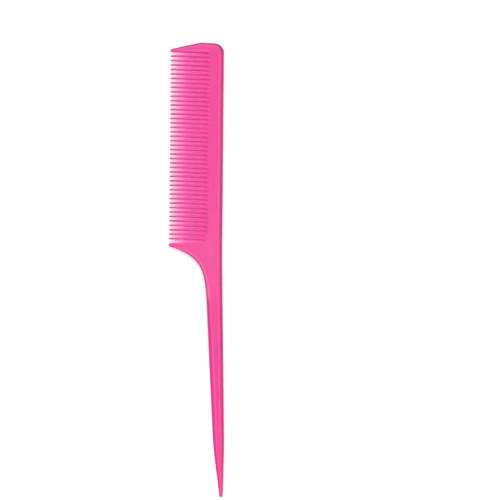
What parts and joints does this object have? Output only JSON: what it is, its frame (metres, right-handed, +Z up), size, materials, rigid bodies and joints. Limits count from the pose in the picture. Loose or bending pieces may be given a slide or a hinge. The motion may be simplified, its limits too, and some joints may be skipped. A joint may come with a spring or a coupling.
{
  "type": "rat tail comb",
  "caption": "Slim one-piece plastic rat tail comb: straight head with a row of fine tapered teeth between two thicker guard teeth, a curved neck and a long pointed handle.",
  "frame": {"origin": "middle of the overall width and length, on the surface the comb lies on", "axes": "+Y along the comb towards the toe of the head (the tail points to -Y), +X across it towards the back edge (the teeth point to -X), +Z up through its thickness"},
  "size_m": [0.0272, 0.215, 0.0036],
  "materials": {
    "pink_plastic": "semi-gloss moulded"
  },
  "bodies": {
    "root": {"spine": "pink_plastic", "toe_guard": "pink_plastic", "heel_guard": "pink_plastic", "neck": "pink_plastic", "tail": "pink_plastic", "tooth_01": "pink_plastic", "tooth_02": "pink_plastic", "tooth_03": "pink_plastic", "tooth_04": "pink_plastic", "tooth_05": "pink_plastic", "tooth_06": "pink_plastic", "tooth_07": "pink_plastic", "tooth_08": "pink_plastic", "tooth_09": "pink_plastic", "tooth_10": "pink_plastic", "tooth_11": "pink_plastic", "tooth_12": "pink_plastic", "tooth_13": "pink_plastic", "tooth_14": "pink_plastic", "tooth_15": "pink_plastic", "tooth_16": "pink_plastic", "tooth_17": "pink_plastic", "tooth_18": "pink_plastic", "tooth_19": "pink_plastic", "tooth_20": "pink_plastic", "tooth_21": "pink_plastic", "tooth_22": "pink_plastic", "tooth_23": "pink_plastic", "tooth_24": "pink_plastic", "tooth_25": "pink_plastic", "tooth_26": "pink_plastic", "tooth_27": "pink_plastic", "tooth_28": "pink_plastic", "tooth_29": "pink_plastic", "tooth_30": "pink_plastic", "tooth_31": "pink_plastic", "tooth_32": "pink_plastic", "tooth_33": "pink_plastic", "tooth_34": "pink_plastic", "tooth_35": "pink_plastic", "tooth_36": "pink_plastic", "tooth_37": "pink_plastic", "tooth_38": "pink_plastic", "tooth_39": "pink_plastic", "tooth_40": "pink_plastic", "tooth_41": "pink_plastic", "tooth_42": "pink_plastic"}
  },
  "joints": []
}
